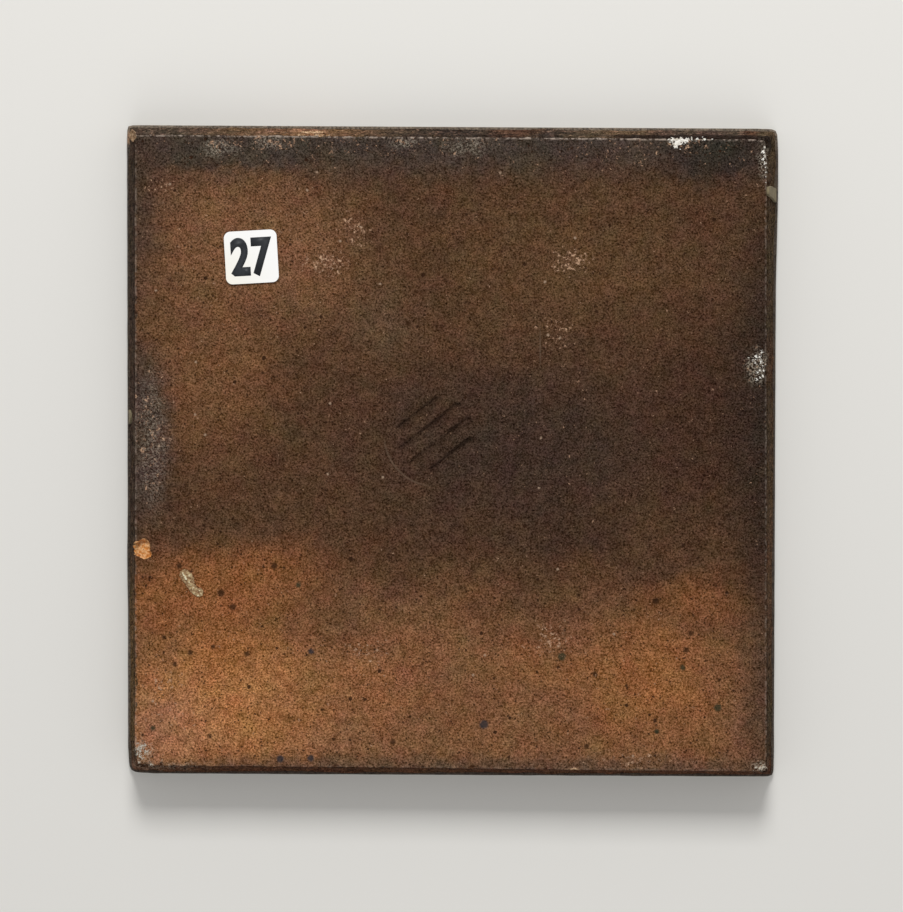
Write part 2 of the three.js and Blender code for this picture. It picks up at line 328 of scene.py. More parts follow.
# The kiln's warp, as a cage whose corners carry the pulls, with the swellings along its sides
bpy.ops.object.add(type="LATTICE", location=(0, 0, back_z / 2))
cage = bpy.context.object
cage.scale = (tile_side, tile_side, back_z)
cage.data.points_u, cage.data.points_v, cage.data.points_w = 3, 41, 2
for axis in "uvw":
    setattr(cage.data, "interpolation_type_" + axis, "KEY_LINEAR")
for point in cage.data.points:
    right, up, rise = point.co + Vector((0.5, 0.5, 0.5))
    pull = centring.copy()
    for (side_x, side_y), (front, back) in corner_pull.items():
        share = (right if side_x > 0 else 1 - right) * (up if side_y > 0 else 1 - up)
        pull += share * Vector(front).lerp(Vector(back), rise)
    for side, along, reach, depth in swellings:
        away = min(abs(point.co.y * tile_side / mm - along) / reach, 1)
        outward = max(2 * side * point.co.x, 0)
        pull.x += side * outward * depth * (1 + math.cos(math.pi * away)) / 2 * (1 - rise)
    point.co_deform = point.co + Vector((pull.x * mm / tile_side, pull.y * mm / tile_side, 0))
bpy.context.view_layer.update()
modify(slab, "LATTICE", object=cage)

# The press mark: a fine ring that is clear at its lower left alone, and four slanting plain bars
ring_radius, ring_width, ring_depth = 11.4, 0.5, 0.16
bar_width, bar_pitch, bar_depth, bar_reach = 2.2, 4, 0.8, 9.5
slant = math.radians(38)


def ring_weight(co):
    """How deep the mark's ring is pressed at a place."""
    spoke = co.xy - mark_place
    if not on_back(co * mm) or spoke.length > mark_reach:
        return 0
    line = 1 - step_between(0.1, ring_width, abs(spoke.length - ring_radius))
    clear = step_between(-0.3, 0.9, spoke.normalized().dot(Vector((-0.6, -0.8))))
    return line * (0.15 + 0.85 * clear)


def bar_weight(co):
    """How deep the mark's bars are pressed at a place."""
    spoke = co.xy - mark_place
    if not on_back(co * mm) or spoke.length > mark_reach:
        return 0
    along = spoke.dot(Vector((math.cos(slant), math.sin(slant))))
    across = spoke.dot(Vector((-math.sin(slant), math.cos(slant))))
    deepest = 0
    for n in range(4):
        offset = (n - 1.5) * bar_pitch
        half = math.sqrt(bar_reach**2 - (abs(offset) + bar_width / 2) ** 2) - bar_width / 2
        distance = math.hypot(max(abs(along) - half, 0), across - offset)
        press = 1 - step_between(bar_width / 2 - 0.7, bar_width / 2 + 0.05, distance)
        wear = 0.72 + 0.5 * noise.noise(Vector((along * 0.16, across * 0.3, 3)))
        deepest = max(deepest, press * wear)
    return deepest


paint(slab, "mark_ring", ring_weight)
paint(slab, "mark_bars", bar_weight)
pressed = slab.data.attributes.new("pressed", "FLOAT", "POINT")
for vertex in slab.data.vertices:
    pressed.data[vertex.index].value = bar_weight(vertex.co / mm)
modify(slab, "DISPLACE", vertex_group="mark_ring", direction="Z", mid_level=0, strength=-ring_depth * mm)
modify(slab, "DISPLACE", vertex_group="mark_bars", direction="Z", mid_level=0, strength=-bar_depth * mm)


def side_weight(co):
    """How torn the side is: most under the arris, and little at its foot, where the glaze holds it."""
    return (1 - step_between(11.2, 11.75, co.z)) * (0.25 + 0.75 * step_between(1.5, 4.5, co.z))


def arris_weight(co):
    """Where the arris is nicked: a narrow strip along the back's edge."""
    inside = tile_side / 2 / mm - max(abs(co.x), abs(co.y))
    if inside > 6 or co.z < back_z / mm - 1:
        return 0
    return 1 - step_between(0.2, 1.1, abs(inside - arris_inset / mm))


# The clay's roughness only sinks in, never out: slow waves, mould grain and small pits all over, the
# clefts that the trimming tore along the side, and nicks in the arris. The clefts run along the side, so
# their pattern is stretched by an empty. The chips are younger, so their faces stay out of the clefts and
# the nicks.
paint(slab, "side", side_weight)
paint(slab, "arris", arris_weight)
broken = {point for face in slab.data.polygons if face.material_index for point in face.vertices}
for group in ("side", "arris"):
    slab.vertex_groups[group].remove(list(broken))
roughen(slab, "slow_waves", 16, 0.18)
roughen(slab, "mould_grain", 1.5, 0.14, depth=3)
roughen(slab, "nicks", 2.2, 0.28, depth=3, contrast=2.4, vertex_group="arris")
deselect()
bpy.ops.object.empty_add(location=(0, 0, 0))
drag = bpy.context.object
drag.scale = (3.6 * mm, 3.6 * mm, 0.75 * mm)
bpy.context.view_layer.update()
modify(slab, "DISPLACE", texture=cloud_texture("clefts", 1, 3, contrast=1.7), texture_coords="OBJECT",
       texture_coords_object=drag, vertex_group="side", mid_level=1, strength=0.55 * mm)
remove(drag)


def srgb(code):
    """The linear colour of an sRGB hex value."""
    parts = [int(code[n : n + 2], 16) / 255 for n in (1, 3, 5)]
    curve = [part / 12.92 if part <= 0.04045 else ((part + 0.055) / 1.055) ** 2.4 for part in parts]
    return (*curve, 1)


def adder(tree):
    """Empties a node tree, and gives the function that adds nodes to it."""
    tree.nodes.clear()

    def add(kind, sockets=None, out=0, **settings):
        """One output of a new node. Each socket is given a value, or another node's output to link."""
        made = tree.nodes.new("ShaderNode" + kind)
        for name, value in settings.items():
            setattr(made, name, value)
        for socket, value in (sockets or {}).items():
            if isinstance(value, bpy.types.NodeSocket):
                tree.links.new(value, made.inputs[socket])
            else:
                made.inputs[socket].default_value = value
        return made.outputs[out] if made.outputs else None

    return add


def begin(material):
    """Empties a material, and gives what adds its nodes and the place on the object in millimetres."""
    material.use_nodes = True
    add = adder(material.node_tree)
    place = add("TexCoord", out="Object")
    return add, add("VectorMath", {0: place, "Scale": 1000}, operation="SCALE")


def finish(add, colour, roughness, sockets, height=None, relief=0):
    """Ends a material with its surface, and with a height pattern as a relief of so many millimetres."""
    sockets = {"Base Color": colour, "Roughness": roughness, **sockets}
    if height is not None:
        sockets["Normal"] = add("Bump", {"Height": height, "Distance": relief * mm, "Strength": 1})
    add("OutputMaterial", {"Surface": add("BsdfPrincipled", sockets)})


def patch(add, place, middle, reach, amount=1, rim=(0.2, 1)):
    """How much an oval patch covers: its middle and half widths, and its fading rim as shares of those."""
    outer = [half * rim[1] for half in reach]
    near = add("Mapping", {"Vector": place, "Location": (*middle, 0), "Scale": (*outer, 1000)},
               vector_type="TEXTURE")
    inward = add("TexGradient", {"Vector": near}, gradient_type="SPHERICAL", out=1)
    return add("MapRange", {"Value": inward, "From Max": 1 - rim[0] / rim[1], "To Max": amount},
               interpolation_type="SMOOTHSTEP")


def thickest(add, place, patches, rim, least=0):
    """The most that any of several patches covers. Each has its strength, middle and half widths."""
    most = least
    for amount, middle, reach in patches:
        cover = patch(add, place, middle, reach, amount, rim)
        most = add("Math", {0: cover, 1: most}, operation="MAXIMUM")
    return most


def stain(add, place, colour, patches):
    """A colour with patches of others over it. Each has its hue, strength, middle, half widths and rim."""
    for hue, amount, middle, reach, rim in patches:
        cover = patch(add, place, middle, reach, amount, rim)
        colour = add("Mix", {0: cover, 6: colour, 7: srgb(hue)}, data_type="RGBA", out=2)
    return colour


# The mould dragged the clay's grain out down the sides, to about twice its length
drag_share = 0.45
back_level = drag_share * back_z / mm


def off_spots(add, place, spots):
    """How far a place is from the nearest spot's middle, or from its rim where the spot has a radius."""
    nearest = 9
    for x, y, *radius in spots:
        away = add("VectorMath", {0: place, 1: (x, y, back_level)}, operation="DISTANCE", out="Value")
        if radius:
            away = add("Math", {0: away, 1: radius[0]}, operation="SUBTRACT")
        nearest = add("Math", {0: away, 1: nearest}, operation="MINIMUM")
    return nearest


# Stoneware clay, pressed and wood fired without glaze: dry and matt, with a fine gritty grain. Flame and
# ash coloured it from orange brown where the fire passed to grey brown where the tile was shielded.
add, place = begin(skin)
edge = add("Attribute", attribute_name="from_arris", out="Fac")
place = add("VectorMath", {0: place, 1: (1, 1, drag_share)}, operation="MULTIPLY")

# Flame marks have soft, drifting rims, crusts of ash have ragged ones, and specks are bent out of round
drifts = {}
for drift, grain, reach, detail in [("soft", 18, 20, 2), ("ragged", 3, 6, 3), ("bent", 0.45, 0.5, 1)]:
    cloud = add("TexNoise", {"Vector": place, "Scale": 1 / grain, "Detail": detail, "Roughness": 0.6},
                out="Color")
    shift = add("VectorMath", {0: cloud, 1: (0.5, 0.5, 0.5)}, operation="SUBTRACT")
    drifts[drift] = add("VectorMath", {0: shift, 1: (reach, reach, reach), 2: place},
                        operation="MULTIPLY_ADD")

# Colour, strength, middle, half widths in millimetres, and the fading rim as shares of those
flame_marks = [
    ("#7c573b", 0.82, (-46, 46), (42, 30), (0.1, 1)),
    ("#5c432b", 0.65, (22, 44), (42, 22), (0.2, 1)),
    ("#744f33", 0.75, (-56, 18), (28, 31), (0.1, 1)),
    ("#403028", 1, (16, 0), (58, 30), (0.2, 1)),
    ("#402b21", 0.8, (64, 8), (34, 34), (0.2, 1)),
    ("#7d5538", 1, (0, -64), (160, 42), (0.3, 1)),
    ("#905a30", 0.8, (-57, -31), (37, 15), (0.2, 1)),
    ("#a8703f", 0.9, (-54, -58), (40, 26), (0.1, 1)),
    ("#a5682c", 0.45, (-50, -44), (17, 9), (0.1, 1)),
    ("#825c44", 0.5, (-26, -66), (16, 7), (0.1, 1)),
    ("#765338", 0.55, (-15, -37), (20, 12), (0.1, 1)),
    ("#905e3a", 0.6, (-19, -53), (19, 17), (0.1, 1)),
    ("#915d31", 0.8, (45, -53), (26, 21), (0.1, 1)),
    ("#8f5c2f", 0.35, (20, -48), (12, 10), (0.1, 1)),
    ("#84532d", 0.65, (56, -33), (18, 9), (0.1, 1)),
    ("#3e2d23", 0.7, (30, -20), (16, 9), (0.1, 1)),
    ("#644f3d", 0.5, (-16, 28), (14, 11), (0.1, 1)),
]
crusts = [
    ("#403834", 0.92, (0, 74), (160, 15), (0.3, 1.1)),
    ("#393733", 0.5, (-50, 67), (26, 4), (0.3, 1.1)),
    ("#2e2a27", 0.8, (60, 67), (16, 9), (0.3, 1.1)),
    ("#483b35", 0.9, (-71.5, 3), (9.5, 25), (0.45, 1.15)),
    ("#3f342e", 0.7, (-74, 54), (10, 22), (0.3, 1.1)),
    ("#302722", 0.9, (77, 8), (18, 74), (0.3, 1.1)),
    ("#463831", 0.7, (76, -60), (14, 30), (0.3, 1.1)),
    ("#a0705c", 0.4, (-64, -63), (14, 12), (0.2, 1.1)),
    ("#564438", 0.85, (0, -75), (160, 7), (0.3, 1.1)),
]
colour = stain(add, drifts["soft"], srgb("#543b29"), flame_marks)
colour = stain(add, drifts["ragged"], colour, crusts)

# The flared side is dirtier than the back: grey brown with rust at the top, and darker on the others
side_colour = stain(add, drifts["ragged"], srgb("#483c33"), [
    ("#332a25", 0.85, (10, 76), (32, 10), (0.4, 1)),
    ("#694d33", 0.8, (-36, 76), (30, 12), (0.3, 1)),
    ("#93694c", 0.65, (-32.5, 76), (7.5, 9), (0.3, 1)),
    ("#643f2a", 0.45, (14, 76), (9, 9), (0.3, 1)),
    ("#69543f", 0.6, (38, 76), (17, 9), (0.3, 1)),
    ("#5e3a26", 0.8, (72, 73.5), (8, 6.5), (0.3, 1)),
    ("#45362d", 1, (-84, 0), (14, 600), (0.83, 1)),
    ("#5e482f", 1, (-74, -50), (8, 34), (0.3, 1)),
    ("#4b3b2b", 1, (84, 0), (15.2, 600), (0.83, 1)),
    ("#543525", 0.4, (74, 20), (6, 12), (0.3, 1)),
    ("#5a412f", 0.9, (74, -30), (6, 30), (0.3, 1)),
    ("#503322", 1, (0, -84), (600, 15), (0.83, 1)),
    ("#6a4c38", 0.8, (-72.5, -74), (4.5, 4), (0.3, 1)),
])

# The trimming left streaks of a few millimetres along the side, rubbed pale on the top side's crests
streaks = add("VectorMath", {0: place, 1: (0.55, 0.55, 1.6)}, operation="MULTIPLY")
streaks = add("TexNoise", {"Vector": streaks, "Scale": 1.3, "Detail": 4, "Roughness": 0.75})
shade = add("MapRange", {"Value": streaks, "From Min": 0.3, "From Max": 0.7, "To Min": 0.2, "To Max": 1.65})
side_colour = add("VectorMath", {0: side_colour, "Scale": shade}, operation="SCALE")
crest = add("MapRange", {"Value": streaks, "From Min": 0.54, "From Max": 0.66, "To Max": 0.5})
crest = add("Math", {0: crest, 1: patch(add, place, (0, 84), (600, 16), 1, (0.6, 1))}, operation="MULTIPLY")
side_colour = add("Mix", {0: crest, 6: side_colour, 7: srgb("#97796a")}, data_type="RGBA", out=2)

# Painted shade fills the cleft under the arris, thick and wide towards the right of the top side. Each
# stretch has its strength, its middle and half widths, and how far from the arris it begins and is at its
# full.
dirt_and_shade = 0
for amount, middle, reach, outer, inner in [
    (0.95, (57, 76), (28, 12), -7.5, -4.5),
    (0.55, (8, 84), (38, 16), -5, -2.5),
    (0.55, (-84, 0), (14, 600), -3.4, -1.9),
    (0.4, (0, -84), (600, 15), -3.4, -1.9),
    (0.4, (84, 0), (15.2, 600), -3.4, -1.9),
]:
    cover = patch(add, drifts["ragged"], middle, reach, amount, (0.7, 1))
    cleft = add("MapRange", {"Value": edge, "From Min": outer, "From Max": inner},
                interpolation_type="SMOOTHSTEP")
    cover = add("Math", {0: cleft, 1: cover}, operation="MULTIPLY")
    dirt_and_shade = add("Math", {0: cover, 1: dirt_and_shade}, operation="MAXIMUM")
# The cleft's near-black colour is painted shade under the arris's overhang
side_colour = add("Mix", {0: dirt_and_shade, 6: side_colour, 7: srgb("#20150f")}, data_type="RGBA", out=2)
side = add("MapRange", {"Value": edge, "From Min": -0.1, "From Max": -0.35})
colour = add("Mix", {0: side, 6: colour, 7: side_colour}, data_type="RGBA", out=2)

# Hues wander by patches of about 6 mm between olive, red brown and purple grey
wander = add("TexNoise", {"Vector": place, "Scale": 0.17, "Detail": 4, "Roughness": 0.6}, out="Color")
wander = add("VectorMath", {0: wander, 1: (0.46, 0.42, 0.5), 2: (0.83, 0.8, 0.645)}, operation="MULTIPLY_ADD")
colour = add("VectorMath", {0: colour, 1: wander}, operation="MULTIPLY")

# Grit of about 0.4 mm and a slower mottle of about 2 mm. Each makes light spots as well as dark ones,
# and the light ones are paler.
grit = add("TexNoise", {"Vector": place, "Scale": 2.4, "Detail": 3, "Roughness": 0.8})
mottle = add("TexNoise", {"Vector": place, "Scale": 0.5, "Detail": 3, "Roughness": 0.6})
light = add("MapRange", {"Value": grit, "From Min": 0.3, "From Max": 0.7, "To Max": 2.4})
dull = add("MapRange", {"Value": mottle, "From Min": 0.3, "From Max": 0.7, "To Min": 0.74, "To Max": 1.26})
light = add("Math", {0: light, 1: dull}, operation="MULTIPLY")
vivid = add("MapRange", {"Value": light, "From Min": 0.6, "From Max": 1.6, "To Min": 1, "To Max": 0.935})
colour = add("HueSaturation", {"Color": colour, "Saturation": vivid, "Value": light})
# Pale sand in the grit shows most where the clay is dark
grains = add("Math", {0: grit, 1: 0.055, 2: -0.0275}, operation="MULTIPLY_ADD")
colour = add("VectorMath", {0: colour, 1: grains}, operation="ADD")

# Dark specks, the burnt-out ones in their own colour and the open pores in painted shade: fine ones 0.75 mm
# apart, and some of up to 1 mm across. Each size has its distance apart, the share of places that stay
# empty, its largest radius and its strength.
depth = 0
for spacing, rarity, largest, strength in [
    (0.75, 0.3, 0.28, 0.8), (1.6, 0.35, 0.38, 0.85), (3.3, 0.45, 0.55, 0.9),
]:
    cells = add("TexVoronoi", {"Vector": drifts["bent"], "Scale": 1 / spacing}, out="Color")
    size = add("SeparateColor", {0: cells})
    size = add("MapRange", {"Value": size, "From Min": rarity, "To Max": largest / spacing})
    pore = add("Math", {0: size, 1: cells.node.outputs["Distance"]}, operation="SUBTRACT")
    pore = add("MapRange", {"Value": pore, "From Max": 0.12 / spacing, "To Max": strength})
    depth = add("Math", {0: pore, 1: depth}, operation="MAXIMUM")
# The specks' dark colour is partly painted shade in the open pores
colour = add("Mix", {0: depth, 6: colour, 7: srgb("#351f11")}, data_type="RGBA", out=2)

# Iron and slag melted out in single spots: each one's colour, and its spots' places and radii
for hue, spots in [
    ("#3b2413", [(-52.7, -32.4, 0.95), (-50, -35.5, 0.8), (-46.8, -46.2, 0.7), (-13.6, -66.2, 0.7),
                 (46.2, -34.2, 0.9), (32.4, -50.8, 0.7), (-59.7, -46, 0.7), (53.1, -45.3, 0.75),
                 (30.5, -67.2, 0.7), (46.5, -64, 0.6), (-63.2, -48.5, 0.7), (-65.7, -42.4, 0.6),
                 (-54.5, -44.6, 0.6), (-62.2, -26.2, 0.7), (-10.2, 29, 0.7), (54.1, -41.6, 0.65),
                 (-40.6, -26.2, 0.8), (-55.2, -64.9, 0.6)]),
    ("#33343a", [(7.1, -62.3, 1.1), (-39.2, -70.1, 0.95), (-32.3, -69.9, 0.85), (-32.2, -45.7, 0.75)]),
    ("#363a28", [(60.3, -58.4, 0.95), (24.8, -46.8, 1), (-35.1, -30.5, 0.7), (-68.2, -63.1, 0.7),
                 (52.3, -49.3, 0.7), (46.4, -63.8, 0.6)]),
]:
    nearest = off_spots(add, drifts["bent"], spots)
    cover = add("MapRange",
                {"Value": nearest, "From Min": -0.35, "From Max": 0.15, "To Min": 0.85, "To Max": 0})
    colour = add("Mix", {0: cover, 6: colour, 7: srgb(hue)}, data_type="RGBA", out=2)

# Pale flecks of sand and ash on the back, thick in the places listed and sparse elsewhere
crowd = thickest(add, drifts["ragged"], [
    (0.13, (-45, 48), (42, 32)), (0.5, (-67, 60), (6, 3.5)), (0.75, (-54.5, 69.9), (3, 2.2)),
    (0.85, (-28.5, 42.5), (9, 4.5)), (0.85, (27, 43), (9, 4)), (0.5, (24, 27), (7, 9)),
    (0.6, (-22, 50), (6, 7)), (0.65, (-19.5, -46.5), (7, 6)), (0.55, (22, -43), (8, 7)),
    (0.6, (-65.5, -53), (6, 6)), (0.4, (-64.5, -60), (9, 6)), (0.6, (40, -70.5), (22, 3)),
    (0.5, (-68.5, 4), (7, 24)), (0.35, (-20, 70), (60, 5)), (0.5, (-44, 70), (20, 3.5)),
    (0.3, (40, 68), (40, 6)), (0.45, (69.3, 19), (4, 8)), (0.8, (52, 70), (9, 2.2)),
    (0.7, (-70, -68.5), (3.5, 5)), (0.7, (69.8, -71.5), (4, 2.2)), (0.6, (-66, -72), (16, 2)),
], (0.1, 1.1))
turned = add("Mapping", {"Vector": place, "Rotation": (0.6, 0.5, 0.4)})
sand = add("TexNoise", {"Vector": turned, "Scale": 1.1, "Detail": 4, "Roughness": 0.75, "Distortion": 0.3})
fleck = add("Math", {0: crowd, 1: 0.17, 2: sand}, operation="MULTIPLY_ADD")
fleck = add("Math", {0: side, 1: -0.3, 2: fleck}, operation="MULTIPLY_ADD")
fleck_cover = add("MapRange", {"Value": fleck, "From Min": 0.645, "From Max": 0.695, "To Max": 0.8})
fleck_colour = add("MapRange", {"Value": fleck, "From Min": 0.655, "From Max": 0.75})
fleck_colour = add("Mix", {0: fleck_colour, 6: srgb("#946e58"), 7: srgb("#e4bb98")}, data_type="RGBA", out=2)
colour = add("Mix", {0: fleck_cover, 6: colour, 7: fleck_colour}, data_type="RGBA", out=2)

# Single pale flecks, each 0.5 to 0.7 mm across
nearest = off_spots(add, drifts["bent"], [
    (-58.6, 8.3), (-67.5, 36.5), (-66.8, 1.1), (21, 38.4), (-68.2, -56.9), (41, -69.4), (-25.6, 47.7),
    (10.8, 63.2), (27.8, 48.4), (23.9, -26.9), (-27.9, 10.8), (-20.9, 50.9), (-28.4, -5.3), (19.6, -8.5),
    (-56.3, 3.6), (-15.9, -6), (20.1, 2.9), (-58.4, 20.2), (-33.1, 59.3), (-30.9, 63.4), (-64.3, 60.6),
    (7.3, -46.5), (4.6, -51), (21.7, 26.3), (24.4, 25.6), (-16.5, 37.9), (36.7, -41.7),
])
cover = add("MapRange", {"Value": nearest, "From Min": 0.15, "From Max": 0.4, "To Min": 0.75, "To Max": 0})
colour = add("Mix", {0: cover, 6: colour, 7: srgb("#c4a78d")}, data_type="RGBA", out=2)

# Powder from the plaster clings to the clay around each patch of it, as a broken net of fine threads
net = add("TexNoise", {"Vector": place, "Scale": 1.1, "Detail": 3, "Roughness": 0.6})
net = add("Math", {0: net, 1: 0.5, 2: 0.05}, operation="COMPARE")
powder = thickest(add, drifts["ragged"], [
    (0.75, (69.5, 19), (3.4, 5.4)), (0.4, (52, 70.6), (5, 1.2)), (0.65, (-70.6, -68.3), (3, 4)),
    (0.65, (70, -71.7), (3.2, 1.8)), (0.6, (70.6, 66), (1.5, 6)), (0.35, (-66, -72), (14, 2)),
    (0.5, (-53, 69), (6, 2.6)), (0.45, (-42, 70), (5, 2)), (0.5, (-11, 70), (5, 1.8)),
    (0.4, (3, 69), (8, 2.6)), (0.32, (-68.5, 3), (5, 22)),
], (0.2, 1))
breaks = add("MapRange", {"Value": grit, "From Min": 0.42, "From Max": 0.55})
powder = add("Math", {0: net, 1: powder}, operation="MULTIPLY")
powder = add("Math", {0: breaks, 1: powder}, operation="MULTIPLY")
colour = add("Mix", {0: powder, 6: colour, 7: srgb("#c4b8a4")}, data_type="RGBA", out=2)

# Pale fine lines: a scratch in the back, and a painted highlight on the outer rim of the mark's ring at its
# lower left, where the ring's wall faces the lamp
hub = add("VectorMath", {0: place, 1: (*mark_place, back_level)}, operation="DISTANCE", out="Value")
rim = add("Math", {0: hub, 1: ring_radius + ring_width / 2}, operation="SUBTRACT")
rim = add("Math", {0: rim}, operation="ABSOLUTE")
rim = add("MapRange", {"Value": rim, "From Min": 0.05, "From Max": 0.3, "To Min": 1, "To Max": 0})
cover = patch(add, drifts["ragged"], (-12.5, -4.5), (9, 9), 0.55, (0.5, 1))
cover = add("Math", {0: cover, 1: rim}, operation="MULTIPLY")
scratch = patch(add, place, (19.9, 23.5), (0.24, 6.4), 0.5, (0.3, 1))
cover = add("Math", {0: cover, 1: scratch}, operation="MAXIMUM")
# The ring's pale rim is painted highlight, and the scratch is the clay's own mark
colour = add("Mix", {0: cover, 6: colour, 7: srgb("#74604f")}, data_type="RGBA", out=2)

# A pale broken line along the arris, most along the top and hardly at the bottom: worn clay, and a painted
# highlight where the bevel faces the lamp
arris_highlight_and_wear = thickest(add, place, [(0.95, (0, 84), (600, 16)), (0.32, (-84, 0), (15, 600)),
                                (0.3, (84, 0), (16, 600))], (0.8, 1), 0.12)
breaks = add("TexNoise", {"Vector": place, "Scale": 0.9, "Detail": 4, "Roughness": 0.7})
breaks = add("MapRange", {"Value": breaks, "From Min": 0.46, "From Max": 0.57, "To Min": 0.02})
line = add("Math", {0: edge}, operation="ABSOLUTE")
line = add("MapRange", {"Value": line, "From Min": 0.15, "From Max": 0.6, "To Min": 1, "To Max": 0})
line = add("Math", {0: line, 1: arris_highlight_and_wear}, operation="MULTIPLY")
line = add("Math", {0: line, 1: breaks}, operation="MULTIPLY")
# The pale line is worn clay and painted highlight on the lit bevel
colour = add("Mix", {0: line, 6: colour, 7: srgb("#bcaa9b")}, data_type="RGBA", out=2)

# Painted shade darkens the mark's bars, most where they are pressed deepest
painted_bar_shade = add("Attribute", attribute_name="pressed", out="Fac")
painted_bar_shade = add("Math", {0: painted_bar_shade, 1: 0.14}, operation="MULTIPLY")
colour = add("Mix", {0: painted_bar_shade, 6: colour, 7: srgb("#241a14")}, data_type="RGBA", out=2)

height = add("Math", {0: grit, 1: 0.6}, operation="MULTIPLY")
height = add("Math", {0: depth, 1: -0.15, 2: height}, operation="MULTIPLY_ADD")
finish(add, colour, 0.92, {"Specular IOR Level": 0.08}, height, 1)

# The same clay where it broke after the firing: clean orange inside, paler at the older knocks, and
# granular, with a few dark grits
add, place = begin(fresh)
crumb = add("TexNoise", {"Vector": place, "Scale": 1.6, "Detail": 4, "Roughness": 0.7})
pale = add("MapRange", {"Value": crumb, "From Min": 0.42, "From Max": 0.62})
colour = add("Mix", {0: pale, 6: srgb("#84603c"), 7: srgb("#e8c6a2")}, data_type="RGBA", out=2)
bright = add("Mix", {0: pale, 6: srgb("#d48640"), 7: srgb("#f4c690")}, data_type="RGBA", out=2)
newest = patch(add, place, (-70.5, -22.2), (6, 6), 1, (0.8, 1))
colour = add("Mix", {0: newest, 6: colour, 7: bright}, data_type="RGBA", out=2)
grits = add("TexNoise", {"Vector": place, "Scale": 3, "Detail": 3})
grits = add("MapRange", {"Value": grits, "From Min": 0.6, "From Max": 0.68, "To Max": 0.7})
colour = add("Mix", {0: grits, 6: colour, 7: srgb("#5b3722")}, data_type="RGBA", out=2)
finish(add, colour, 0.95, {"Specular IOR Level": 0.15}, crumb, 0.5)
pick(slab)
bpy.ops.object.shade_smooth_by_angle(angle=math.radians(60))
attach(slab, "root")
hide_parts("clay_body")


# The glaze: one poured coat of feldspar glaze on the front, fused to the clay and wrapped round the
# front's edge, where it is thin. While the kiln was hot it crept over the edge onto two of the sides.
glaze_cells = 125
front_inset = 1.2 * mm
glaze_steps = [(0.75, 0.1, 1), (0.35, 0.35, 1), (0.1, 0.75, 1), (0, 1.2, 1), (0.03, 1.5, 1),
               (0.14, 1.75, 1), (0.4, 1.9, 1), (1.1, 1.9, 1), (1.8, 1.4, 1), (1.9, 0.9, 1)]
glaze = skirted_grid("front_glaze_coat", glaze_cells, front_inset, 0, glaze_steps)
round_corners(glaze, 2 * mm, (2, 4, 3, 8))
deselect()

# The top of the coat's lip wanders up and down
paint(glaze, "lip", lambda co: step_between(1.2, 1.8, co.z))
roughen(glaze, "creeping_rim", 5, 0.8, mid_level=0.5, contrast=1.8, vertex_group="lip", direction="Z")

# Each run is a thin tongue that crept up the flared side: its side, and its outline as seen against that
# side, with the distance along it and the height. The right one reaches the arris.
runs = [
    (1, [(57.6, 1.2), (58, 3.5), (58.5, 6), (58.9, 8.6), (59, 10.9), (59.3, 11.6), (60, 11.75),
         (61.1, 11.5), (61.4, 8), (61.2, 4), (61, 1.2)]),
    (-1, [(5.6, 1.2), (6, 3.6), (6.6, 5), (7.4, 5.6), (8.3, 5.2), (9, 3.4), (9.3, 1.2)]),
]
# The side leans in by about a quarter of its height
side_lean = math.atan2(2.65, 10.3)
for side_x, outline in runs:
    run = plate("run", [(height, along) for along, height in outline], -0.5, 0.3)
    melt([run], 0.14, 4)
    roughen(run, "run_waves", 1.6, 0.2, mid_level=0.6)
    # Stood up from the ground against the side
    run.matrix_world = (
        Matrix.Translation((side_x * (tile_side / 2 - 0.05 * mm), 0, 0))
        @ Matrix.Rotation(-side_x * side_lean, 4, "Y")
        @ Matrix(((0, 0, side_x, 0), (0, 1, 0, 0), (1, 0, 0, 0), (0, 0, 0, 1)))
    )
    settle(run, "run")
    edit(run)
    face_outward()
    modify(glaze, "BOOLEAN", object=run, operation="UNION", solver="EXACT")
    remove(run)
modify(glaze, "LATTICE", object=cage)
remove(cage)

# Feldspar glaze, poured and fired: glassy grey green where it lies thick, dull brown where it breaks over
# the edge, with iron specks and a fine net of crazing
glass = bpy.data.materials.new("crazed_feldspar_glaze")
add, place = begin(glass)
rise = add("SeparateXYZ", {0: place}, out=2)
cloud = add("TexNoise", {"Vector": place, "Scale": 0.06, "Detail": 5, "Roughness": 0.6})
pool = add("MapRange", {"Value": cloud, "From Min": 0.3, "From Max": 0.7})
colour = add("Mix", {0: pool, 6: srgb("#8f917b"), 7: srgb("#a8a78f")}, data_type="RGBA", out=2)
streak = add("TexNoise", {"Vector": place, "Scale": 0.8, "Detail": 4, "Roughness": 0.7})
brink = add("Math", {0: streak, 1: 1.6, 2: rise}, operation="MULTIPLY_ADD")
thin = add("MapRange", {"Value": brink, "From Min": 0.9, "From Max": 1.9}, interpolation_type="SMOOTHSTEP")
blotch = add("TexNoise", {"Vector": place, "Scale": 2, "Detail": 3, "Roughness": 0.7})
blotch = add("MapRange", {"Value": blotch, "From Min": 0.36, "From Max": 0.64})
burnt = add("Mix", {0: blotch, 6: srgb("#1d1610"), 7: srgb("#54473b")}, data_type="RGBA", out=2)
flamed = patch(add, place, (0, 84), (600, 16), 1, (0.6, 1))
ashen = patch(add, place, (-76, -50), (8, 30), 0.5)
flamed = add("Math", {0: flamed, 1: ashen}, operation="MAXIMUM")
dusty = add("Mix", {0: blotch, 6: srgb("#372d24"), 7: srgb("#877867")}, data_type="RGBA", out=2)
burnt = add("Mix", {0: flamed, 6: burnt, 7: dusty}, data_type="RGBA", out=2)
bare = patch(add, place, (-75, 72), (2.6, 2.2), 0.75, (0.2, 1))
bare = add("Math", {0: bare, 1: blotch}, operation="MULTIPLY")
burnt = add("Mix", {0: bare, 6: burnt, 7: srgb("#b08561")}, data_type="RGBA", out=2)
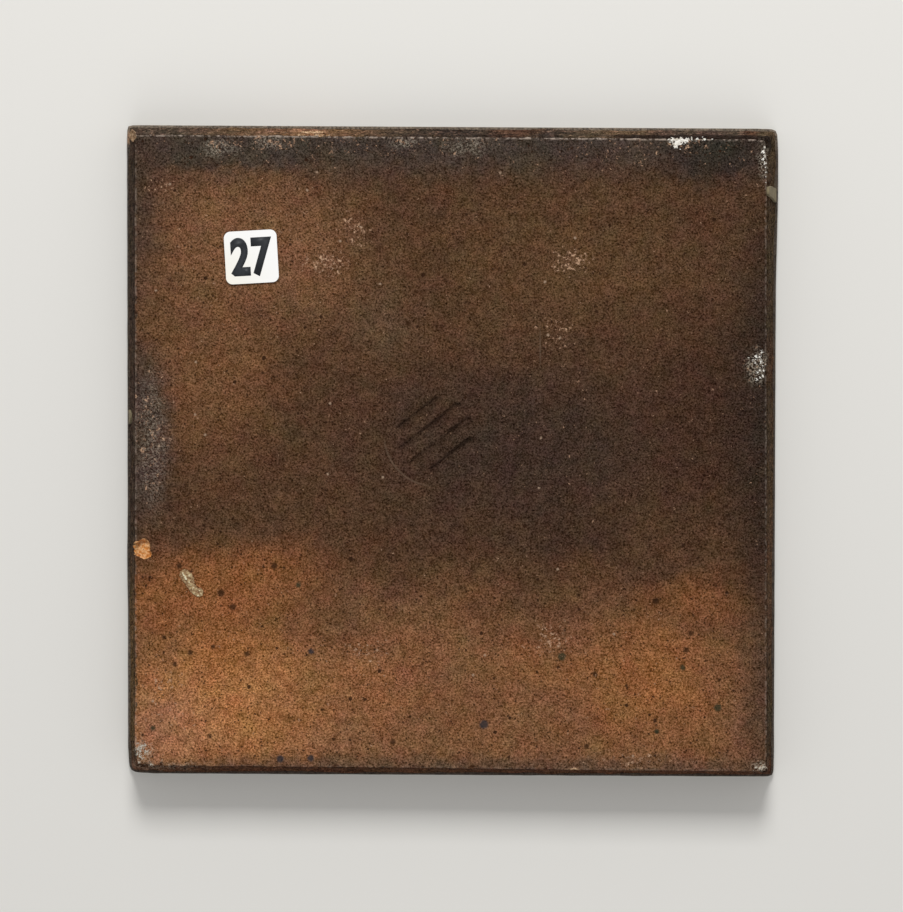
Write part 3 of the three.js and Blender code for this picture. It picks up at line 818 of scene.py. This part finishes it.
colour = add("Mix", {0: thin, 6: colour, 7: burnt}, data_type="RGBA", out=2)
thick = add("MapRange", {"Value": rise, "From Min": 2.2, "From Max": 2.9}, interpolation_type="SMOOTHSTEP")
tongue = add("Mix", {0: streak, 6: srgb("#564a32"), 7: srgb("#978a6c")}, data_type="RGBA", out=2)
colour = add("Mix", {0: thick, 6: colour, 7: tongue}, data_type="RGBA", out=2)
iron = add("TexVoronoi", {"Vector": place, "Scale": 0.35}, out="Distance")
iron = add("MapRange", {"Value": iron, "From Min": 0.07, "From Max": 0.12, "To Min": 0.7, "To Max": 0})
colour = add("Mix", {0: iron, 6: colour, 7: srgb("#4d3f2c")}, data_type="RGBA", out=2)
craze = add("TexVoronoi", {"Vector": place, "Scale": 0.16}, feature="DISTANCE_TO_EDGE",
            voronoi_dimensions="2D", out="Distance")
crack = add("MapRange", {"Value": craze, "From Min": 0.004, "From Max": 0.016, "To Min": 0.6, "To Max": 0})
colour = add("Mix", {0: crack, 6: colour, 7: srgb("#5a5345")}, data_type="RGBA", out=2)
shine = add("MapRange", {"Value": thin, "To Min": 0.16, "To Max": 0.92})
peel = add("TexNoise", {"Vector": place, "Scale": 0.3, "Detail": 2})
finish(add, colour, shine, {"IOR": 1.52}, peel, 0.08)
glaze.data.materials.append(glass)
pick(glaze)
bpy.ops.object.shade_smooth_by_angle(angle=math.radians(50))
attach(glaze, "root")
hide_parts("face_glaze")


# The sticker's glue: a clear film of acrylic adhesive under the paper. The film is the imported one. The
# sliver that shows round the paper is dark brown: dust on it, and a painted shadow of the paper's edge.
glue = bpy.data.materials.new("acrylic_label_adhesive")
add, place = begin(glue)
mottling = add("TexNoise", {"Vector": place, "Scale": 1.6, "Detail": 3})
# The film's dark colour is dust and painted shade at the paper's edge
colour = add("Mix", {0: mottling, 6: srgb("#241f19"), 7: srgb("#4b4335")}, data_type="RGBA", out=2)
finish(add, colour, 0.5, {"IOR": 1.47})
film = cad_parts["label_adhesive"]
for holder in film.material_slots:
    holder.material = glue


# The sticker: a die-cut square of coated white paper with rounded corners, pressed on by hand a little
# askew. Its lower left corner has begun to lift.
sticker_side, sticker_radius, sticker_turn = 12 * mm, 1.5 * mm, math.radians(3.3)
corner_lift, lift_reach = 0.12 * mm, 2.6 * mm
sticker_low, sticker_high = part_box("label_paper")
sticker_middle = (sticker_low + sticker_high) / 2
paper_thickness = sticker_high.z - sticker_low.z
deselect()
bpy.ops.mesh.primitive_cube_add(size=1, location=(0, 0, 0))
paper = bpy.context.object
paper.scale = (sticker_side, sticker_side, paper_thickness)
settle(paper, "number_sticker")
edit(paper)
shape = bmesh.from_edit_mesh(paper.data)
bpy.ops.mesh.select_all(action="DESELECT")
bpy.ops.mesh.select_mode(type="EDGE")
for line in shape.edges:
    line.select = abs(line.verts[0].co.z - line.verts[1].co.z) > paper_thickness / 2
bmesh.update_edit_mesh(paper.data)
bpy.ops.mesh.bevel(offset=sticker_radius, segments=12)
bpy.ops.mesh.select_mode(type="VERT")
# Cut across every millimetre, so that the corner can bend
for n in range(-5, 6):
    for direction in [(1, 0, 0), (0, 1, 0)]:
        bpy.ops.mesh.select_all(action="SELECT")
        cut = Vector(direction) * n * mm
        bpy.ops.mesh.bisect(plane_co=cut, plane_no=direction)
bpy.ops.mesh.select_all(action="DESELECT")
select_points(paper, lambda co: co.x < -5.1 * mm and co.y < -5.1 * mm)
bpy.ops.transform.translate(value=(0, 0, corner_lift), use_proportional_edit=True,
                            proportional_edit_falloff="SMOOTH", proportional_size=lift_reach)
deselect()
paper.location = sticker_middle
paper.rotation_euler = (0, 0, sticker_turn)
settle(paper, "number_sticker")
bpy.ops.object.shade_smooth_by_angle(angle=math.radians(35))

# Coated label paper, calendered: nearly white and smooth, a little yellow at its lower left
coated = bpy.data.materials.new("coated_label_paper")
add, place = begin(coated)
fibre = add("TexNoise", {"Vector": place, "Scale": 6, "Detail": 3})
age = patch(add, place, (-52, 38), (14, 14), 0.8, (0, 1))
colour = add("Mix", {0: age, 6: srgb("#fbfaf8"), 7: srgb("#f6f1e3")}, data_type="RGBA", out=2)
finish(add, colour, 0.55, {"Specular IOR Level": 0.3}, fibre, 0.01)
paper.data.materials.append(coated)
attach(paper, "root")
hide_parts("label_paper")


# The numerals: a plain number in bold narrow figures, printed on the paper as a film of black ink that
# has soaked in a little.
number_width, number_height = 9.5 * mm, 9 * mm
ink_film, ink_soak = 0.02 * mm, 0.003 * mm
deselect()
bpy.ops.object.text_add(location=(0, 0, 0))
number = bpy.context.object
number.data.body = "27"
number.data.size = 12 * mm
number.data.offset = 0.52 * mm
number.data.resolution_u = 12
number.data.space_character = 1.08
bpy.ops.object.convert(target="MESH")
number = bpy.context.object
edit(number)
bpy.ops.mesh.select_all(action="SELECT")
bpy.ops.mesh.remove_doubles(threshold=0.001 * mm)
bpy.ops.mesh.extrude_region_move(TRANSFORM_OT_translate={"value": (0, 0, ink_film)})
face_outward()
corners = [Vector(corner) for corner in number.bound_box]
width = max(corner.x for corner in corners) - min(corner.x for corner in corners)
tall = max(corner.y for corner in corners) - min(corner.y for corner in corners)
middle = sum(corners, Vector()) / 8
number.data.transform(Matrix.Translation((-middle.x, -middle.y, 0)))
number.scale = (number_width / width, number_height / tall, 1)
number.location = (sticker_middle.x, sticker_middle.y, sticker_high.z - ink_soak)
number.rotation_euler = (0, 0, sticker_turn)
settle(number, "printed_numerals")

# Black flexographic ink on paper: thin, satin, and slightly uneven in its cover
ink = bpy.data.materials.new("printed_black_ink")
add, place = begin(ink)
cover = add("TexNoise", {"Vector": place, "Scale": 2.5, "Detail": 2})
colour = add("Mix", {0: cover, 6: srgb("#232528"), 7: srgb("#34373b")}, data_type="RGBA", out=2)
finish(add, colour, 0.5, {"Specular IOR Level": 0.3})
number.data.materials.append(ink)
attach(number, "root")


# The plaster: crumbs of an old bed of lime plaster that stayed on the back when the tile came off its
# wall. Each patch is many small broken lumps that lie on the clay and on each other. It has how many
# crumbs lie about, how large they are at most, and the place and reach of each heap of them.
plaster_patches = {
    "plaster_top_edge": (460, 0.2, [
        (49.2, 70.75, 0.35), (49.9, 70.6, 0.7), (50.9, 70.5, 0.9), (50.4, 69.7, 0.5), (51.2, 69.8, 0.7),
        (50.8, 69, 0.35), (52.1, 70.6, 0.8), (53.2, 70.7, 0.6), (54.3, 70.8, 0.4), (55.6, 70.85, 0.35),
        (57.2, 70.85, 0.3), (59, 70.85, 0.2),
    ]),
    "plaster_right_upper": (260, 0.15, [
        (70.9, 68.9, 0.35), (70.6, 68, 0.5), (71, 67, 0.35), (70.6, 66.3, 0.4), (71, 65.4, 0.35),
        (71.1, 64.4, 0.25), (71.15, 63.3, 0.2), (71.2, 62.2, 0.15), (71.2, 61, 0.12),
    ]),
    "plaster_right_middle": (460, 0.11, [
        (70.2, 22.3, 0.6), (69.9, 21.2, 0.6), (69, 21.3, 0.6), (68.4, 20.6, 0.5), (68.9, 19.9, 0.45),
        (70.1, 20.2, 0.6), (70.6, 19.3, 0.4), (70, 18.4, 0.5), (70.7, 18.2, 0.4), (69.3, 17.8, 0.5),
        (70.6, 17, 0.5), (69.9, 16.6, 0.5), (69.1, 16.3, 0.5), (67.3, 21.1, 0.3),
    ]),
    "plaster_bottom_left": (430, 0.12, [
        (-71.4, -67.4, 0.7), (-71.1, -68.4, 0.9), (-70.8, -67.2, 0.7), (-71, -69.6, 0.8),
        (-69.9, -66.8, 0.8), (-71.3, -70.8, 0.5), (-69.8, -68.4, 0.8), (-68.6, -71.3, 0.5),
        (-71.7, -66.6, 0.4), (-71.7, -69, 0.5), (-71.7, -67.8, 0.4),
    ]),
    "plaster_bottom_right": (190, 0.12, [(70.6, -72, 0.6), (69.8, -72.2, 0.6), (69, -72.1, 0.5)]),
}

# Lime plaster, dried in a thin bed and broken: chalky white with grey dust in its hollows
lime = bpy.data.materials.new("broken_lime_plaster")
add, place = begin(lime)
mottling = add("TexNoise", {"Vector": place, "Scale": 1.6, "Detail": 4, "Roughness": 0.7})
dirt_and_shade = add("MapRange", {"Value": mottling, "From Min": 0.34, "From Max": 0.54, "To Min": 0.75, "To Max": 0})
soiled = patch(add, place, (0, -84), (600, 25), 0.7, (0.6, 1))
dirt_and_shade = add("Math", {0: dirt_and_shade, 1: soiled}, operation="MAXIMUM")
colour = add("Mix", {0: dirt_and_shade, 6: srgb("#f6f2e9"), 7: srgb("#a3937b")}, data_type="RGBA", out=2)
crumble = add("TexNoise", {"Vector": place, "Scale": 4, "Detail": 3})
finish(add, colour, 0.95, {"Specular IOR Level": 0.15}, crumble, 0.12)
for seed, (node, (count, largest, heaps)) in enumerate(plaster_patches.items()):
    chance = random.Random(seed)
    low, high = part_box(node)
    tallest = (high.z - low.z) / mm
    deselect()
    bpy.ops.mesh.primitive_ico_sphere_add(subdivisions=1, radius=0.1 * mm)
    bed = bpy.context.object
    settle(bed, node.replace("plaster", "plaster_crumbs"))
    edit(bed)
    bpy.ops.mesh.delete(type="VERT")
    # The crumbs crowd round the heaps' middles, and the larger ones lie in the wider heaps
    for _ in range(count):
        x, y, reach = chance.choices(heaps, [heap[2] for heap in heaps])[0]
        away, turn = reach * chance.gauss(0, 0.6), chance.uniform(0, math.tau)
        size = largest * min(1.1, 0.45 + 0.8 * reach) * chance.uniform(0.35, 1)
        thickness = min(size * chance.uniform(0.5, 0.9), tallest / 2)
        bpy.ops.mesh.primitive_ico_sphere_add(
            subdivisions=1, radius=1, rotation=(0, 0, chance.uniform(0, math.tau)),
            location=((x + away * math.cos(turn)) * mm, (y + away * math.sin(turn)) * mm,
                      back_z + (thickness * 0.4 - 0.08) * mm),
            scale=(size * chance.uniform(0.8, 1.6) * mm, size * mm, thickness * mm),
        )
    modify(bed, "REMESH", mode="VOXEL", voxel_size=0.055 * mm)
    roughen(bed, "crumble", 0.25, 0.14, mid_level=0.6, depth=3, contrast=1.6)
    bed.data.materials.append(lime)
    bpy.ops.object.shade_smooth_by_angle(angle=math.radians(40))
    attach(bed, "root")
    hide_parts(node)


# The smear: glaze that dripped on the back from the tile above it in the kiln. A thin round head and a
# smaller tail hang together by a neck, and a ridge was scraped up across the head.
smear_outline = [
    (-62, -27.6), (-61.3, -26.95), (-60.2, -27.1), (-59.2, -28), (-58.8, -29), (-58.7, -30.2),
    (-58.1, -31.1), (-57.2, -31.2), (-56.6, -32), (-56.9, -32.9), (-57.7, -33.4), (-58.6, -32.9),
    (-59.6, -32.2), (-60.4, -30.9), (-61.4, -29.6), (-62.1, -28.6),
]
smear = plate("glaze_smear_drops", smear_outline, back_z / mm - 0.12, back_z / mm + 0.06)
drops = [smear]
# Each lump's middle, length, width and height in millimetres, and its turn in degrees
for x, y, length, width, tall, turn in [
    (-61, -28.5, 2.7, 0.5, 0.36, -62),
    (-59.9, -28.3, 2, 1.2, 0.17, -60),
    (-59.6, -30.1, 1.9, 0.9, 0.16, -55),
    (-58.9, -31.4, 1.2, 0.8, 0.2, -30),
    (-57.6, -31.8, 0.7, 0.6, 0.22, 0),
    (-57.2, -32.5, 0.7, 0.5, 0.2, 40),
    (-57.9, -33, 0.7, 0.4, 0.2, 20),
    (-58.6, -32.3, 0.5, 0.4, 0.2, 0),
]:
    deselect()
    bpy.ops.mesh.primitive_uv_sphere_add(segments=24, ring_count=12, radius=0.5 * mm,
                                         location=(x * mm, y * mm, back_z))
    ridge = bpy.context.object
    ridge.scale = (length, width, tall * 2)
    ridge.rotation_euler = (0, 0, math.radians(turn))
    settle(ridge, "ridge")
    drops.append(ridge)
melt(drops, 0.07, 2)
roughen(smear, "drip_waves", 0.4, 0.3, mid_level=0.6, contrast=1.6)

# The same feldspar glaze, half melted: a thin brown film, olive on its lumps and cream on their crests
half_melted = bpy.data.materials.new("half_melted_glaze")
add, place = begin(half_melted)
rise = add("SeparateXYZ", {0: place}, out=2)
boil = add("TexNoise", {"Vector": place, "Scale": 2.2, "Detail": 4, "Roughness": 0.7})
height = add("Math", {0: boil, 1: 0.6, 2: rise}, operation="MULTIPLY_ADD")
body = add("MapRange", {"Value": height, "From Min": 12.24, "From Max": 12.46})
colour = add("Mix", {0: body, 6: srgb("#7a5737"), 7: srgb("#bba176")}, data_type="RGBA", out=2)
cream = add("MapRange", {"Value": height, "From Min": 12.46, "From Max": 12.62})
colour = add("Mix", {0: cream, 6: colour, 7: srgb("#e9e2c4")}, data_type="RGBA", out=2)
finish(add, colour, 0.8, {"IOR": 1.5}, boil, 0.15)
smear.data.materials.append(half_melted)
pick(smear)
bpy.ops.object.shade_smooth()
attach(smear, "root")
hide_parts("glaze_smear")


# The floor: a pale matt board under the tile, wide enough to fill every view
deselect()
bpy.ops.mesh.primitive_plane_add(size=6, location=(0, 0, 0))
floor = bpy.context.object
floor.name = "pale_board"
board = bpy.data.materials.new("matt_painted_board")
add, place = begin(board)
finish(add, srgb("#e4e2dd"), 0.9, {"Specular IOR Level": 0.2})
floor.data.materials.append(board)
floor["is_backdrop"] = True


# The light: a soft lamp behind the top edge that rakes over the back, a weaker one opposite, and a plain
# bright room
for name, at, width, watts in [
    ("key_lamp", (0, 0.85, 0.8), 0.35, 9.2),
    ("fill_lamp", (0.1, -0.8, 0.9), 0.9, 2),
]:
    bpy.ops.object.light_add(type="AREA", location=at)
    lamp = bpy.context.object
    lamp.name = name
    lamp.data.size = width
    lamp.data.energy = watts
    lamp.rotation_euler = (-Vector(at)).to_track_quat("-Z", "Y").to_euler()
room = bpy.data.worlds.new("plain_room")
bpy.context.scene.world = room
room.use_nodes = True
add = adder(room.node_tree)
add("OutputWorld", {"Surface": add("Background", {"Color": (1, 1, 1, 1), "Strength": 0.42})})
bpy.context.scene.view_settings.view_transform = "Standard"

low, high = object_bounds()
